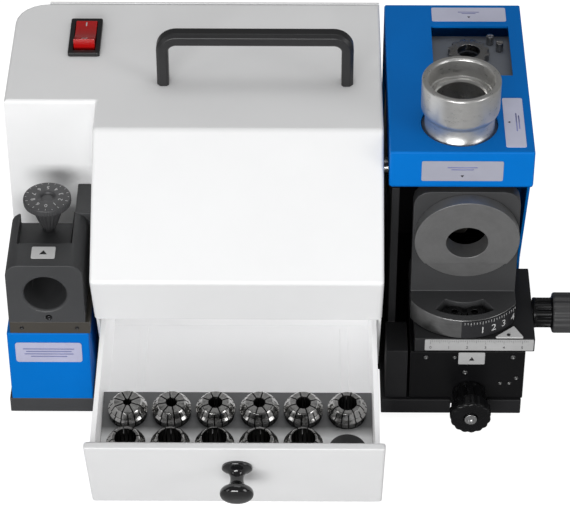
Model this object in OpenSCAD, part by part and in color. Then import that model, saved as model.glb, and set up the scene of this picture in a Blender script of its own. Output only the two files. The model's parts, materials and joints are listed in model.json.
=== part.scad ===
// Bench drill bit sharpener: painted sheet housing over a steel base, collet
// drawer, left setting gauge, right grinding head with a two-axis slide.
// Z up, Y towards the back. The zero point is the middle of the outer box
// at floor level.

/* [Housing] */
// Width of the main housing
body_w = 155; // [155:0.5:156]
// Height of the housing top above the base underside
body_h = 162; // [160:1:166]
// Depth of the housing top
body_d = 118.5; // [118:0.5:121]
// Width of the set-back wing on the left
wing_w = 49.5; // [48:0.5:50]
// How far the wing front is set back
wing_set = 25; // [25:1:28]
// Sheet thickness
sheet = 1.5; // [1:0.1:1.5]
// Radius of the back left corner
corner_r = 18; // [12:1:20]

/* [Front] */
// Nose of the front panel, forward of the top edge
nose_y = 65.6; // [65:0.1:66]
// Height of the nose
nose_z = 110; // [109:0.5:111]
// Height of the lip over the drawer
lip_z = 69.3; // [69:0.1:69.5]
// Backward lean of the lower front, mm per mm of height
lean = 0.43; // [0.42:0.01:0.44]

/* [Base] */
// Thickness of the base plate
base_t = 10; // [9:0.5:10]
// Height of the rubber feet
foot_h = 4; // [3:0.5:8]

/* [Drawer] */
// How far the drawer is drawn out
drawer_out = 99; // [90:1:99]
// Spacing of the collet sockets
collet_pitch = 23.4; // [23.2:0.1:23.6]
// Forward tilt of the collet rack
rack_tilt = 10; // [8:1:10]

/* [Grinding head] */
// Radius of the grinding wheel
wheel_r = 37; // [34:0.5:37]
// Bore radius of the chuck seat
seat_bore_r = 11.25; // [10:0.25:12]
// Outer radius of the chuck seat flange
seat_r = 28.25; // [27:0.25:29]
// Bore radius of the top seat
top_bore_r = 17.5; // [17:0.1:17.8]

/* [Setting gauge] */
// Bore radius of the gauge
gauge_bore_r = 11.4; // [10:0.1:11.6]
// Radius of the gauge dial
dial_r = 13; // [11:0.5:13.5]

/* [Hidden] */
$fn = 48;

overlap = 0.01;         // sinks one solid into the next
top_under = body_h - sheet;   // underside of the top sheets
label_t = 0.4;          // thickness of the label plates

// base
base_left = -50;
base_right = 233.5;
base_front = -46.4;
foot_inset = 14;
foot_stud_r = 1.95;
foot_points = [for (x = [base_left + foot_inset, base_right - foot_inset])
    for (y = [-32, body_d - foot_inset]) [x, y]];

// screws: [x, z] on the rear panel, [y, z] on the right side
panel_points = [[-27.5, 16], [150.5, 16], [-27.5, 62], [150.5, 86],
    [-27.5, 156], [62, 156], [150.5, 156]];
side_points = [[30, 22], [108, 22], [108, 120]];
screw_hole_r = 1.95;

// leaning front and drawer; the drawer is drawn out by drawer_out
lip_y = -nose_y + lean * (nose_z - lip_z);
lean_angle = atan(lean);
drawer_knob_z = 46.7;
function drawer_face_y(z) = lip_y - drawer_out + lean * (lip_z - z);

// outer box
x_knob_end = 262.5;     // right end of the side knob
inlet_flange_t = 2.5;
inlet_back = body_d + sheet + inlet_flange_t;
drawer_knob_rim = [6.6, 18.4];   // radius and station of the knob's front rim
front_y = drawer_face_y(drawer_knob_z) - drawer_knob_rim[1] * cos(lean_angle)
    - drawer_knob_rim[0] * sin(lean_angle);
middle_x = (base_left + x_knob_end) / 2;
middle_y = (front_y + inlet_back) / 2;

// ---------- helpers ----------
// Cutting shapes run a little past the faces they open.

// moves the model from its working frame to the middle of the outer box
module centred() translate([-middle_x, -middle_y, foot_h]) children();

function unit(v) = v / norm(v);
// points of a rounded corner at b between a and c
function corner(a, b, c, r, steps = 4) =
    r <= 0 ? [b] :
    let (to_a = unit(a - b),
         to_c = unit(c - b),
         half = acos(to_a * to_c) / 2,
         middle = b + unit(to_a + to_c) * r / sin(half),
         start = b + to_a * r / tan(half),
         end = b + to_c * r / tan(half),
         angle0 = atan2(start[1] - middle[1], start[0] - middle[0]),
         angle1 = atan2(end[1] - middle[1], end[0] - middle[0]),
         turn = angle1 - angle0,
         sweep = turn > 180 ? turn - 360 : turn < -180 ? turn + 360 : turn)
    [for (i = [0:steps])
        middle + r * [cos(angle0 + sweep * i / steps), sin(angle0 + sweep * i / steps)]];
function flat(p) = [p[0], p[1]];
// polygon with rounded corners, each entry is [x, y, radius]
function rounded(p, steps = 4) = let (k = len(p))
    [for (i = [0:k - 1]) each corner(flat(p[(i + k - 1) % k]), flat(p[i]),
        flat(p[(i + 1) % k]), p[i][2], steps)];
function rounded_rect(x0, y0, x1, y1, r) =
    rounded([[x0, y0, r], [x1, y0, r], [x1, y1, r], [x0, y1, r]]);

// extrude a [y, z] profile along X, an [x, z] one along Y, an [x, y] one along Z
module prism_x(x0, x1, points) translate([x0, 0, 0]) rotate([90, 0, 90])
    linear_extrude(x1 - x0) polygon(points);
module prism_y(y0, y1, points) translate([0, y1, 0]) rotate([90, 0, 0])
    linear_extrude(y1 - y0) polygon(points);
module prism_z(z0, z1, points) translate([0, 0, z0]) linear_extrude(z1 - z0) polygon(points);
// block between two opposite corners
module block(low, high) translate(low) cube(high - low);
// cylinders along X, Y and Z between two stations
module rod_x(x0, x1, y, z, r) translate([x0, y, z]) rotate([0, 90, 0])
    cylinder(h = x1 - x0, r = r);
module rod_y(y0, y1, x, z, r) translate([x, y0, z]) rotate([-90, 0, 0])
    cylinder(h = y1 - y0, r = r);
module rod_z(z0, z1, x, y, r) translate([x, y, z0]) cylinder(h = z1 - z0, r = r);

// pan head screw, the head standing up from the origin
module pan_screw(length, shank_r = 1.9, head_r = 3.4, head_h = 2) {
    slot_w = 0.8;
    difference() {
        union() {
            cylinder(h = head_h, r = head_r);
            translate([0, 0, -length]) cylinder(h = length + overlap, r = shank_r);
        }
        translate([-head_r, -slot_w / 2, head_h - 0.8]) cube([2 * head_r, slot_w, 2]);
    }
}

// ---------- frame and housing ----------
switch_x = -8.9;
switch_y = 82.8;
inlet_x = -8;
inlet_z = 94;
handle_x = [36, 136];   // the two handle legs
handle_y = 43;
shelf_top = 72.5;
wheel_y = 40;           // spindle axis
wheel_z = 107;

// block about the switch centre, by its half sizes
module switch_block(half_x, half_y, z0, z1)
    block([switch_x - half_x, switch_y - half_y, z0], [switch_x + half_x, switch_y + half_y, z1]);
// block about the inlet centre, by its half sizes
module inlet_block(half_x, half_z, y0, y1)
    block([inlet_x - half_x, y0, inlet_z - half_z], [inlet_x + half_x, y1, inlet_z + half_z]);
module spindle_rod(x0, x1, r) rod_x(x0, x1, wheel_y, wheel_z, r);
module top_hole(x, y, r) rod_z(body_h - 3, body_h + 1, x, y, r);
module panel_holes(y0) for (p = panel_points) rod_y(y0, y0 + 4, p[0], p[1], screw_hole_r);

module base_plate() centred() color([0.22, 0.23, 0.24]) difference() {
    block([base_left, base_front, 0], [base_right, body_d, base_t]);
    // bay for the closed drawer front
    block([-1, base_front - 1, -1], [body_w + 1, -10.5, base_t + 1]);
    // clearance for the front knob
    block([y_screw_x - 10, base_front - 1, -1], [y_screw_x + 10, -38.5, base_t + 1]);
    for (p = foot_points) rod_z(-1, base_t + 1, p[0], p[1], foot_stud_r + 0.1);
}

module rubber_feet() centred() color([0.05, 0.05, 0.05])
    for (p = foot_points) translate([p[0], p[1], -foot_h])
        rotate_extrude() polygon([[0, 0], [7.2, 0], [8, 0.8], [8.6, foot_h],
            [foot_stud_r, foot_h], [foot_stud_r, foot_h + 7], [0, foot_h + 7]]);

// plan of the wing with its rounded back left corner; right_x is inside the main box
function wing_outline(right_x, inset) = concat(
    [[right_x, wing_set + inset], [right_x, body_d - inset]],
    corner([0, body_d - inset], [-wing_w + inset, body_d - inset], [-wing_w + inset, 0],
        corner_r - inset, 6),
    [[-wing_w + inset, wing_set + inset]]);

module housing_cover() centred() color([0.93, 0.93, 0.94]) {
    lip_depth = 5.8;
    difference() {
        union() {
            prism_x(0, body_w, [[body_d, base_t], [body_d, body_h], [0, body_h],
                [-nose_y, nose_z], [lip_y, lip_z], [lip_y + lip_depth, lip_z],
                [lip_y + lip_depth + lean * (lip_z - base_t), base_t]]);
            prism_z(base_t, body_h, wing_outline(1, 0));
        }
        // inside of the main box
        prism_x(sheet, body_w - sheet, [[body_d - sheet, base_t - 1],
            [body_d - sheet, top_under], [0.5, top_under], [-nose_y + 2, nose_z - 0.4],
            [lip_y + 1.7, lip_z + 1.5], [lip_y + 12, lip_z + 1.5], [lip_y + 12, base_t - 1]]);
        // drawer opening
        block([sheet, lip_y - 2, base_t - 1], [body_w - sheet, 20, lip_z]);
        // inside of the wing
        prism_z(base_t - 1, top_under, wing_outline(sheet + 0.5, sheet));
        // rear opening inside a narrow flange that takes the panel screws
        block([-23.5, body_d - 3, base_t - 1], [146.5, body_d + 1, 151.5]);
        panel_holes(body_d - 3);
        // switch cut-out, handle screws, spindle hole
        switch_block(7, 15, body_h - 3, body_h + 1);
        for (x = handle_x) top_hole(x, handle_y, 2.6);
        spindle_rod(body_w - 3, body_w + 1, 12);
    }
}

module rear_panel() centred() color([0.9, 0.9, 0.91]) difference() {
    block([-wing_w + corner_r + 0.2, body_d, base_t], [body_w, body_d + sheet, body_h]);
    // slots near the top
    for (z = [128:7:149]) block([40, body_d - 1, z], [110, body_d + 3, z + 2.5]);
    inlet_block(14, 10, body_d - 1, body_d + 3);
    panel_holes(body_d - 1);
}

module case_screws() centred() color([0.55, 0.55, 0.57]) {
    for (p = panel_points) translate([p[0], body_d + sheet, p[1]]) rotate([-90, 0, 0])
        pan_screw(4);
    for (p = side_points) translate([blue_right, p[0], p[1]]) rotate([0, 90, 0])
        pan_screw(4);
}

// shelf with an upturned front edge
module motor_shelf() centred() color([0.62, 0.63, 0.65]) {
    front = -32;
    block([sheet, front, shelf_top - sheet], [body_w - sheet, body_d - sheet, shelf_top]);
    block([sheet, front, shelf_top], [body_w - sheet, front + sheet, 78]);
}

module drawer_guides() centred() color([0.75, 0.75, 0.76])
    for (x = [17, 133]) block([x, -10, base_t], [x + 7, 112, base_t + 1.8]);

module carry_handle() centred() color([0.05, 0.05, 0.055]) {
    half_leg = 3.25;
    left = handle_x[0];
    right = handle_x[1];
    grip_under = body_h + 26;
    grip_top = body_h + 33.5;
    difference() {
        prism_y(handle_y - 4.5, handle_y + 4.5, rounded([
            [left - half_leg, body_h, 0.8], [left + half_leg, body_h, 0.8],
            [left + half_leg, grip_under, 5], [right - half_leg, grip_under, 5],
            [right - half_leg, body_h, 0.8], [right + half_leg, body_h, 0.8],
            [right + half_leg, grip_top, 11], [left - half_leg, grip_top, 11]], 6));
        for (x = handle_x) rod_z(body_h - 1, body_h + 14, x, handle_y, 2.3);
    }
}

// screws up into the handle legs from inside the top
module handle_screws() centred() color([0.6, 0.6, 0.62])
    for (x = handle_x) translate([x, handle_y, top_under]) rotate([180, 0, 0])
        pan_screw(13, 2.25, 4, 2.4);

// ---------- power switch ----------
rocker_z = body_h - 3;  // rocker pivot
switch_under = body_h - 22;

module switch_body() centred() color([0.06, 0.06, 0.065]) difference() {
    union() {
        prism_z(body_h, body_h + 2.6, rounded_rect(switch_x - 8.8, switch_y - 16.8,
            switch_x + 8.8, switch_y + 16.8, 1.2));
        switch_block(6.8, 14.8, switch_under, body_h + 1);
    }
    switch_block(6.2, 13.8, body_h - 11, body_h + 4);
    rod_x(switch_x - 6.6, switch_x + 6.6, switch_y, rocker_z, 1.25);
}

module switch_rocker() centred() color([0.8, 0.07, 0.05])
    translate([switch_x, switch_y, rocker_z]) rotate([-10, 0, 0]) {
        prism_x(-5.9, 5.9, [[-12.3, 8.5], [-6, 6.7], [0, 6], [6, 6.7], [12.3, 8.5],
            [11, -2], [4, -4], [-4, -4], [-11, -2]]);
        rod_x(-6.5, 6.5, 0, 0, 1.2);
    }

// ---------- motor and drive ----------
motor_left = 32;
motor_right = 128;      // where the end bell starts
motor_r = 33;
bearing_w = 9;
bearing_seat_r = 15;
spindle_r = 5;
spindle_bore_r = 5.02;  // wheel and nut
wheel_x = 190;          // left face of the wheel
hub_t = 10;             // thickness of the wheel's hub

module motor_housing() centred() color([0.42, 0.44, 0.46]) difference() {
    union() {
        spindle_rod(motor_left, motor_right, motor_r);
        // fins
        for (a = [20:20:160])
            translate([(motor_left + motor_right) / 2, wheel_y, wheel_z]) rotate([a, 0, 0])
                translate([-40, motor_r - 1, -0.9]) cube([80, 2.6, 1.8]);
    }
    spindle_rod(motor_left + 11, motor_right + 1, 29);
    spindle_rod(motor_left + 2, motor_left + 12, bearing_seat_r);
    spindle_rod(motor_left - 1, motor_left + 3, 7);
}

module motor_end_bell() centred() color([0.5, 0.52, 0.54]) difference() {
    union() {
        spindle_rod(motor_right, 134, motor_r);
        spindle_rod(134, 144, 19);
    }
    spindle_rod(motor_right - 1, 131, 13);
    spindle_rod(130.9, 142, bearing_seat_r);
    spindle_rod(141, 145, 7);
}

module motor_bearings() centred() color([0.75, 0.76, 0.78])
    for (x = [motor_left + 2, 132.9]) difference() {
        spindle_rod(x, x + bearing_w, bearing_seat_r - 0.02);
        spindle_rod(x - 1, x + bearing_w + 1, spindle_r + 0.05);
    }

// two saddles joined by a strip along the front and the back
module motor_cradle() centred() color([0.3, 0.3, 0.32]) {
    front = wheel_y - 24;
    back = wheel_y + 24;
    strip_w = 6;
    strip_top = shelf_top + 1.3;
    difference() {
        union() {
            for (x = [46, 106]) block([x, front, shelf_top], [x + 12, back, 88]);
            for (y = [front, back - strip_w])
                block([46, y, shelf_top], [118, y + strip_w, strip_top]);
        }
        spindle_rod(40, 125, motor_r + 0.05);
    }
}

module rotor_shaft() centred() color([0.66, 0.66, 0.68]) {
    spindle_rod(48, 124, 27.5);
    spindle_rod(33.5, 212, spindle_r);
    // collar behind the wheel
    spindle_rod(wheel_x - 4, wheel_x, 15);
}

module grinding_wheel() centred() color([0.5, 0.46, 0.4])
    translate([wheel_x, wheel_y, wheel_z]) rotate([0, 90, 0])
        // columns: radius, station to the right of the left face
        rotate_extrude($fn = 96) polygon([[spindle_bore_r, 0], [wheel_r - 6, 0],
            [wheel_r, 6], [wheel_r, 12], [wheel_r - 5, 16], [wheel_r - 7, 16],
            [wheel_r - 11, 8], [15, 8], [13, hub_t], [spindle_bore_r, hub_t]]);

// hexagon nut on a round washer
module wheel_nut() centred() color([0.7, 0.7, 0.72]) {
    washer_t = 1.6;
    translate([wheel_x + hub_t, wheel_y, wheel_z]) rotate([0, 90, 0]) difference() {
        union() {
            cylinder(h = washer_t, r = 11);
            translate([0, 0, washer_t]) cylinder(h = 7, r = 9.2, $fn = 6);
        }
        translate([0, 0, -1]) cylinder(h = 12, r = spindle_bore_r);
    }
}

// board with a finned block and an upright cylinder on it
module control_board() centred() color([0.12, 0.13, 0.15]) {
    board_top = 76;
    block_top = 98;
    block([18, 80, shelf_top], [66, 112, board_top]);
    block([20, 82, board_top], [50, 110, block_top]);
    rod_z(board_top, 100, 58, 97, 6);
    for (x = [22:7:43]) block([x, 83, block_top], [x + 2, 109, 101]);
}

module power_inlet() centred() color([0.06, 0.06, 0.06]) difference() {
    union() {
        inlet_block(17, 13, body_d + sheet, inlet_back);
        inlet_block(13.6, 9.6, body_d - 22, body_d + sheet);
    }
    inlet_block(11, 7, body_d - 14, body_d + 6);
}

// cable from the inlet to one joint, then on to the board and the switch
module wiring_loom() centred() color([0.08, 0.08, 0.09]) {
    joint_y = 86;
    cable_r = 2;
    rod_y(joint_y, body_d - 22.1, inlet_x, inlet_z, cable_r);
    translate([inlet_x, joint_y, inlet_z]) sphere(r = cable_r);
    rod_x(inlet_x, 19.9, joint_y, inlet_z - overlap, cable_r);
    rod_z(inlet_z, switch_under - 0.1, inlet_x, joint_y, 1.6);
}

// ---------- right hand unit ----------
blue_left = 157.8;
blue_right = 234.4;
blue_front = -19.4;
flange_z = 138.8;       // underside of the blue front flange
frame_top = flange_z - 0.4;
window_top = 153;       // top of the window plate
window_x = 204;         // centre of the window ring
window_y = 80;
cup_x = 195.5;          // axis of the top seat
cup_y = 6.4;

// guide rail of the slide, and the fit around guided parts
rail_left = 190;
rail_right = 219;
rail_top = 26;
fit = 0.1;
slide_front = -45;      // front and back of the saddle and the cross slide
slide_back = 15;
saddle_top = 44.5;
slide_under = 44.8;
slide_top = 54;
ridge_front = 2;        // cross ridge on the saddle
ridge_back = 10;
marker_t = 0.6;         // thickness of the front markers

// front to back leadscrew
y_screw_x = 204.5;
y_screw_z = 14;
// left to right leadscrew
x_screw_y = -17.5;
x_screw_z = 49.4;
leadscrew_r = 2.5;
screw_end_r = 3.4;
socket_r = 1.5;

module wheel_frame() centred() color([0.2, 0.2, 0.21]) {
    wall_right = 163.6;
    difference() {
        union() {
            block([159.5, -20, base_t], [wall_right, 116, frame_top]);
            block([158, -44.5, base_t], [170, -20, saddle_top]);
            block([wall_right, 100, base_t], [232, 104, frame_top]);
        }
        spindle_rod(157, 166, 16);
    }
}

module blue_cover() centred() color([0.0, 0.33, 0.68]) difference() {
    union() {
        // top, front flange, left flange, back
        block([blue_left, blue_front, top_under], [blue_right, body_d, body_h]);
        block([blue_left, blue_front, flange_z], [blue_right, blue_front + sheet, top_under]);
        block([blue_left, blue_front, flange_z], [blue_left + sheet, body_d, top_under]);
        block([blue_left, body_d - sheet, base_t], [blue_right, body_d, top_under]);
        // right side, cut away at the front
        prism_x(blue_right - sheet, blue_right, [[body_d, base_t], [body_d, top_under],
            [blue_front, top_under], [blue_front, flange_z], [-9, flange_z], [21.5, 56],
            [21.5, base_t]]);
    }
    top_hole(cup_x, cup_y, 20.6);
    block([183.5, 50, body_h - 3], [226.5, 97, body_h + 1]);
    for (p = side_points) rod_x(blue_right - 3, blue_right + 1, p[0], p[1], screw_hole_r);
}

// plate under the top opening, with two posts and a wall at the back
module window_plate() centred() color([0.36, 0.35, 0.33]) {
    plate_under = window_top - 2;
    back = 99.9;
    difference() {
        union() {
            block([178, 44, plate_under], [230, back, window_top]);
            for (x = [180, 228]) rod_z(window_top, top_under, x, 47, 2);
            block([176, 98, flange_z - 8], [232, back, plate_under]);
        }
        rod_z(window_top - 3, window_top + 1, window_x, window_y, 7);
    }
}

// ribbed ring and two slotted studs
module window_fittings() centred() color([0.7, 0.7, 0.7]) {
    ring_h = 4;
    stud_top = 158.6;
    difference() {
        union() {
            rod_z(window_top, window_top + ring_h, window_x, window_y, 10.5);
            for (a = [0:30:330]) translate([window_x, window_y, window_top])
                rotate([0, 0, a + 15]) translate([9.6, -1.3, 0]) cube([2, 2.6, ring_h]);
        }
        rod_z(window_top - 1, window_top + ring_h + 1, window_x, window_y, 6.2);
    }
    for (p = [[216.5, 92.5], [221.5, 86]]) difference() {
        rod_z(window_top, stud_top, p[0], p[1], 2.1);
        translate([p[0] - 3, p[1] - 0.4, stud_top - 1]) cube([6, 0.8, 2]);
    }
}

// columns: radius, z
module top_seat() centred() color([0.72, 0.72, 0.71]) translate([cup_x, cup_y, 0])
    rotate_extrude($fn = 96) polygon([[13.3, 152], [18.4, 152], [18.4, 156.6], [24, 156.6],
        [24, top_under], [18.6, top_under], [18.8, 170.5], [20.7, 172.5], [21, 174],
        [21, 190.4], [20.2, 191.2], [18.3, 191.2], [top_bore_r, 190.4],
        [top_bore_r, 180.4], [13.3, 180.4]]);

module slide_base() centred() color([0.33, 0.34, 0.36]) difference() {
    block([rail_left, -29, base_t], [rail_right, 62, rail_top]);
    rod_y(-30, 63, y_screw_x, y_screw_z, leadscrew_r + 0.08);
}

// saddle that feeds towards the wheel, with a cross ridge and a nut post on top
module y_saddle() centred() color([0.07, 0.07, 0.075]) difference() {
    union() {
        difference() {
            block([171.2, slide_front, base_t + 0.3], [234.2, slide_back, saddle_top]);
            block([rail_left - fit, -37.5, base_t], [rail_right + fit, 21, rail_top + fit]);
        }
        block([180, ridge_front, saddle_top], [226, ridge_back, 48.3]);
        block([198, x_screw_y - 2.8, saddle_top], [206, x_screw_y + 2.8, 51.8]);
    }
    rod_y(slide_front - 1, -36, y_screw_x, y_screw_z, leadscrew_r + 0.06);
    rod_x(197, 207, x_screw_y, x_screw_z, leadscrew_r + 0.08);
}

module y_leadscrew() centred() color([0.7, 0.7, 0.72]) {
    rod_y(-65.8, 12, y_screw_x, y_screw_z, leadscrew_r);
    difference() {
        rod_y(-66.8, -65, y_screw_x, y_screw_z, screw_end_r);
        rod_y(-67.8, -66, y_screw_x, y_screw_z, socket_r);
    }
}

// fluted stem and head, axis along +Z, stem at the bottom
module knob(stem_r, stem_h, head_h) {
    head_r = 11.3;
    difference() {
        union() {
            difference() {
                cylinder(h = stem_h, r = stem_r);
                for (a = [0:45:315]) rotate([0, 0, a]) translate([stem_r + 0.5, 0, 2])
                    cylinder(h = stem_h, r = 1.5);
            }
            translate([0, 0, stem_h]) difference() {
                cylinder(h = head_h, r = head_r);
                for (a = [0:30:330]) rotate([0, 0, a]) translate([head_r + 0.5, 0, -1])
                    cylinder(h = head_h + 2, r = 1.2);
            }
        }
        translate([0, 0, -1]) cylinder(h = stem_h + head_h + 2, r = leadscrew_r + 0.02);
        translate([0, 0, stem_h + head_h - 0.9]) cylinder(h = 2, r = 3.6);
    }
}

module y_knob() centred() color([0.04, 0.04, 0.045])
    translate([y_screw_x, slide_front - 0.2, y_screw_z]) rotate([90, 0, 0])
        knob(9.2, 12.1, 8.6);

module saddle_pointer() centred() color([0.85, 0.85, 0.86])
    prism_y(slide_front - marker_t, slide_front, rounded_rect(197.6, 35.8, 212.1, 44.3, 0.8));

module x_slide() centred() color([0.1, 0.1, 0.105]) difference() {
    block([173.4, slide_front, slide_under], [238.9, slide_back, slide_top]);
    // channels for the saddle's ridge and nut post
    block([172, ridge_front - fit, 44], [240, ridge_back + fit, 48.5]);
    block([186, x_screw_y - 3.3, 44], [230, x_screw_y + 3.3, 52.3]);
    rod_x(229, 240, x_screw_y, x_screw_z, leadscrew_r + 0.06);
    at_clamps(46) cylinder(h = 9, r = clamp_r + 0.06);
    rod_z(46, 55, seat_x, swivel_y, 2.52);
}

module x_leadscrew() centred() color([0.7, 0.7, 0.72]) {
    rod_x(190, x_knob_end - 0.89, x_screw_y, x_screw_z, leadscrew_r);
    difference() {
        rod_x(x_knob_end - 0.9, x_knob_end - 0.1, x_screw_y, x_screw_z, screw_end_r);
        rod_x(x_knob_end - 0.6, x_knob_end + 1, x_screw_y, x_screw_z, socket_r);
    }
}

module x_knob() centred() color([0.04, 0.04, 0.045]) {
    start_x = 239.2;
    stem_h = 10.8;
    translate([start_x, x_screw_y, x_screw_z]) rotate([0, 90, 0])
        knob(8.4, stem_h, x_knob_end - start_x - stem_h);
}

// linear scale on the slide's front edge and the angle pointer on its top
module slide_markers() centred() color([0.85, 0.85, 0.86]) {
    prism_y(slide_front - marker_t, slide_front, rounded_rect(178.9, 46, 238.2, 53.7, 0.6));
    prism_z(slide_top, slide_top + 0.8,
        rounded([[216.4, -44.6, 0.6], [232.8, -44.6, 0.6], [227.8, -35, 0.5]]));
}

// ---------- swivel and chuck seat ----------
seat_x = 200.5;         // centre line of the grinding head
seat_z = 105;           // height of the chuck seat bore and spigot
disc_z = 106.2;         // height of the disc's centre
disc_face_y = -25;      // front face of the disc
seat_tilt = 6;          // forward lean of the disc
spigot_r = 15;          // bore for the seat's spigot
swivel_y = -11;         // swivel axis
swivel_r = 34;
swivel_left = seat_x - 29.2;
swivel_right = seat_x + 28;
plate_front = -20;      // upright plate of the swivel block
plate_back = -12;
foot_top = 67;          // top of the swivel block's foot
clamp_r = 2;            // clamp screw shanks
// plan of the wedge that limits the clamp slot to 33 degrees each side
slot_wedge = [[0, 0], [36 * sin(-33), -36 * cos(33)], [0, -60], [36 * sin(33), -36 * cos(33)]];

// places children at the two clamp screws in front of the swivel axis
module at_clamps(z) for (a = [-13, 13])
    translate([seat_x, swivel_y, z]) rotate([0, 0, a - 90]) translate([24, 0, 0]) children();

// the part of a ring about the swivel axis that lies in the slot wedge
module slot_arc(z0, z1) translate([seat_x, swivel_y, 0]) intersection() {
    children();
    prism_z(z0, z1, slot_wedge);
}

// round-fronted foot and an upright plate
module swivel_block() centred() color([0.24, 0.245, 0.25]) difference() {
    union() {
        intersection() {
            rod_z(slide_top + 0.3, foot_top, seat_x, swivel_y, swivel_r);
            block([swivel_left, -46, 54], [swivel_right, 12, 68]);
        }
        prism_y(plate_front, plate_back, rounded([
            [swivel_left, foot_top - overlap, 0], [swivel_right, foot_top - overlap, 0],
            [swivel_right, 135.8, 9], [swivel_left, 135.8, 9]]));
    }
    // chuck seat bore
    rod_y(-30, -5, seat_x, seat_z, spigot_r);
    // pivot
    rod_z(53, 62, seat_x, swivel_y, 6.05);
    // arc slot for the clamp screws, wider above for their heads
    slot_arc(52, 71) difference() {
        union() {
            rod_z(53, 70, 0, 0, 26.3);
            rod_z(60, 70, 0, 0, 29.2);
        }
        rod_z(52, 71, 0, 0, 21.7);
    }
    slot_arc(59, 71) difference() {
        rod_z(60, 70, 0, 0, 22);
        rod_z(59, 71, 0, 0, 18.8);
    }
}

// block in the frame of the disc's leaning face
module face_block(low, high) translate([seat_x, disc_face_y, disc_z])
    rotate([seat_tilt, 0, 0]) block(low, high);

// the disc's face leans forward; its bore and spigot sit square in the plate
module chuck_seat() centred() color([0.45, 0.46, 0.47]) difference() {
    union() {
        rod_y(disc_face_y - 4, plate_front, seat_x, disc_z, seat_r);
        rod_y(plate_front - overlap, plate_back, seat_x, seat_z, spigot_r - 0.02);
    }
    // leaning face
    face_block([-40, -12, -40], [40, 0, 40]);
    rod_y(disc_face_y - 5, -11, seat_x, seat_z, seat_bore_r);
    // step across the lower part of the face
    face_block([-40, -2, -41], [40, 1.2, -17.5]);
}

// thin band around the front right of the foot
module angle_scale() centred() color([0.05, 0.05, 0.055]) intersection() {
    difference() {
        rod_z(55, 66.4, seat_x, swivel_y, swivel_r + 0.6);
        rod_z(54, 68, seat_x, swivel_y, swivel_r);
    }
    prism_z(54, 68, [[seat_x - 2, -60], [seat_x + 50, -60], [seat_x + 26.5, swivel_y - 21],
        [seat_x, swivel_y - 20], [seat_x - 2, swivel_y - 20]]);
}

// clamp screws of the swivel and its pivot pin
module swivel_screws() centred() color([0.12, 0.12, 0.13]) {
    at_clamps(60.1) difference() {
        union() {
            cylinder(h = 4.4, r = 4.2);
            translate([0, 0, -13]) cylinder(h = 13 + overlap, r = clamp_r);
        }
        translate([0, 0, 2.2]) cylinder(h = 3, r = 2, $fn = 6);
    }
    rod_z(46.5, 54.2, seat_x, swivel_y, 2.5);
    rod_z(54.1, 61.5, seat_x, swivel_y, 6);
}

// ---------- left setting gauge ----------
gauge_x = -26;          // centre line of the gauge
gauge_z = 85.7;
gauge_back = wing_set - 0.3;
gauge_box_top = 58;
gauge_plate_top = 66;
gauge_top = 105.6;
dial_y = -6.1;
dial_shaft_r = 3;
dial_bore_r = 3.02;

module gauge_box() centred() color([0.0, 0.36, 0.75]) {
    left = -48.7;
    right = -3.9;
    wall = 1.5;
    difference() {
        block([left, base_front, base_t], [right, gauge_back, gauge_box_top]);
        block([left + wall, base_front + wall, base_t - 1],
            [right - wall, wing_set + 1, gauge_box_top - wall]);
    }
}

module gauge_plate() centred() color([0.33, 0.32, 0.3])
    block([-46.6, base_front, gauge_box_top], [-3, gauge_back, gauge_plate_top]);

module gauge_housing() centred() color([0.2, 0.205, 0.21]) {
    half_w = 20.8;
    back = -1.1;
    difference() {
        union() {
            prism_y(base_front, back, rounded([
                [gauge_x - half_w, gauge_plate_top, 0], [gauge_x + half_w, gauge_plate_top, 0],
                [gauge_x + half_w, gauge_top, 7], [gauge_x - half_w, gauge_top, 7]]));
            block([-12, back - overlap, gauge_plate_top], [-2, gauge_back, gauge_top]);
        }
        // bore with a chamfered mouth
        rod_y(-47, -17, gauge_x, gauge_z, gauge_bore_r);
        translate([gauge_x, base_front - overlap, gauge_z]) rotate([-90, 0, 0])
            cylinder(h = 1, r1 = gauge_bore_r + 1, r2 = gauge_bore_r);
        // pocket behind the bore, recess in the top, shaft hole between them
        block([gauge_x - 8.4, -17.1, 77.6], [gauge_x + 8.4, -0.1, 93.6]);
        block([gauge_x - 15.5, -27.1, 98.6], [gauge_x + 13.5, -0.1, 106.6]);
        rod_z(70.6, 99.6, gauge_x, dial_y, dial_shaft_r + 0.06);
        // small hole below the bore
        rod_y(-47, -41, gauge_x + 1, 69.4, 1.6);
    }
}

// columns: radius, z
module gauge_dial() centred() color([0.16, 0.165, 0.17]) translate([gauge_x, dial_y, 0])
    rotate_extrude() polygon([[dial_bore_r, 101.6], [4.6, 101.6], [8.5, 113.8],
        [dial_r - 0.6, 116.8], [dial_r, 117.6], [dial_r, 120.2], [dial_r - 0.6, 120.8],
        [dial_bore_r, 120.8]]);

// shaft with an off-centre drum
module dial_shaft() centred() color([0.7, 0.71, 0.73]) {
    rod_z(71.1, 120.2, gauge_x, dial_y, dial_shaft_r);
    rod_z(78.6, 92.6, gauge_x + 1.2, dial_y, 6.5);
}

module label_plates() centred() color([0.72, 0.71, 0.8]) {
    // blue cover: back of the top, right of the top, front flange
    prism_z(body_h, body_h + label_t, rounded_rect(184.2, 101.2, 225.8, 114.6, 1));
    prism_z(body_h, body_h + label_t, rounded_rect(219.2, -15, 230, 28.6, 1));
    prism_y(blue_front - label_t, blue_front, rounded_rect(174.8, 143.2, 218, 156.3, 1));
    // gauge: box front, housing top
    prism_y(base_front - label_t, base_front, rounded_rect(-44.5, 37.4, -8.2, 51.4, 1.6));
    prism_z(gauge_top, gauge_top + label_t, rounded_rect(-33, -40.3, -20.2, -30.5, 0.8));
}

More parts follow.
